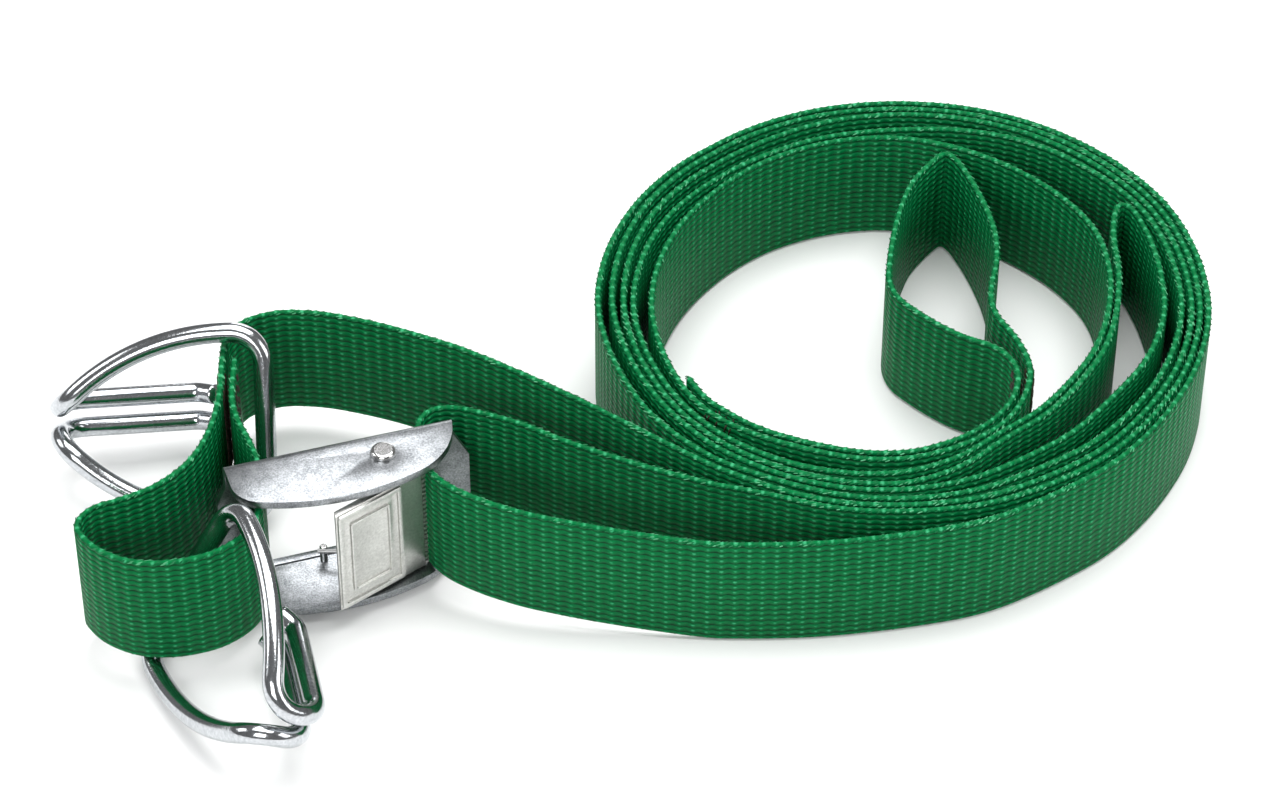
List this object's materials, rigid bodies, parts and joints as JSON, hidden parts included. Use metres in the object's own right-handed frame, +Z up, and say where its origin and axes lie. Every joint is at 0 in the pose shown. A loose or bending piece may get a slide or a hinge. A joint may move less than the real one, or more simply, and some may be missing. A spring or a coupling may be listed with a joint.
{
  "type": "cam buckle tie-down strap",
  "caption": "Tie-down strap of flat webbing wound into a loose coil, with a sprung cam buckle and double-claw wire hooks.",
  "frame": {"origin": "middle of the footprint, on the floor", "axes": "+X along the longest side, from the hooks towards the coil; +Z up, along the webbing's width"},
  "size_m": [0.221, 0.162, 0.0351],
  "materials": {
    "webbing": "woven polyester",
    "thread": "sewing thread",
    "zinc_plate": "zinc plated",
    "bright_pin": "bright zinc",
    "spring_steel": "drawn wire",
    "lever_zinc": "satin zinc",
    "hook_wire": "bright zinc plated wire"
  },
  "bodies": {
    "strap": {"strap_webbing": "webbing", "fold_stitching": "thread", "eye_stitching": "thread", "tail_stitching": "thread", "buckle_frame": "zinc_plate", "pivot_pin": "bright_pin", "spring_peg": "bright_pin", "cam_spring": "spring_steel"},
    "cam_lever": {"cam_lever": "lever_zinc"},
    "hook_upper": {"hook_upper": "hook_wire"},
    "hook_lower": {"hook_lower": "hook_wire"}
  },
  "joints": [
    {"name": "cam_pivot", "type": "hinge", "parent": "strap", "child": "cam_lever", "pos_m": [-0.04554, -0.02677, 0.017], "axis": [0, 0, -1], "range_deg": [0, 30], "stiffness_Nm_per_rad": 0.02, "springref_deg": -11.46},
    {"name": "upper_hook_swing", "type": "hinge", "parent": "strap", "child": "hook_upper", "pos_m": [-0.06904, -0.00515, 0.01775], "axis": [-0.01, 0.5, 0.866], "range_deg": [-5, 5]},
    {"name": "lower_hook_swing", "type": "hinge", "parent": "strap", "child": "hook_lower", "pos_m": [-0.08064, -0.04335, 0.0171], "axis": [0.5, 0.23, 0.8349], "range_deg": [-5, 5]}
  ]
}
